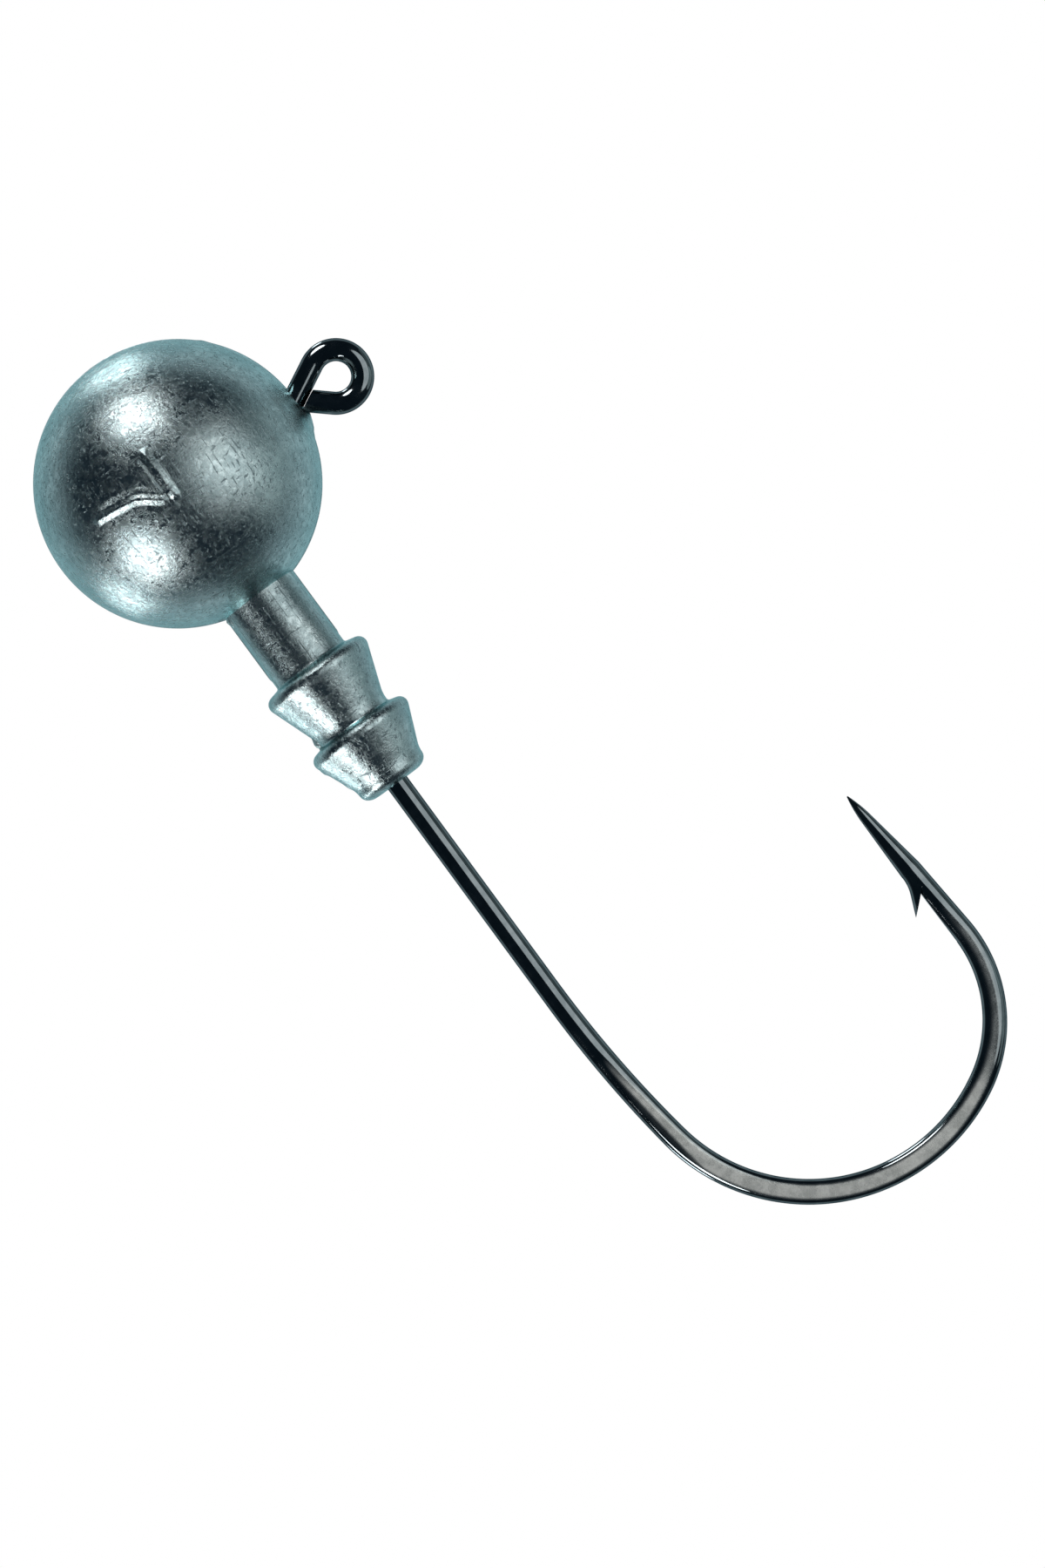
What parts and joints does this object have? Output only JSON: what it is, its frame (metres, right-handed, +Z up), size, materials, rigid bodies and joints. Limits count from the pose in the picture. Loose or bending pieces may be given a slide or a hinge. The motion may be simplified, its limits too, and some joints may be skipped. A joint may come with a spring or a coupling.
{
  "type": "jig head",
  "caption": "Ball-headed fishing jig: a cast lead head with a barbed bait collar on a single upturned hook with a line eye.",
  "frame": {"origin": "centre of the line eye", "axes": "+X along the shank towards the bend, +Z up from the shank to the eye and the hook point, +Y through the line eye; the hook lies in the XZ plane"},
  "size_m": [0.0636, 0.016, 0.0293],
  "materials": {
    "hook": "gloss black nickel plate",
    "lead": "as cast, bright and mottled"
  },
  "bodies": {
    "root": {"hook": "hook", "lead_head": "lead"}
  },
  "joints": []
}
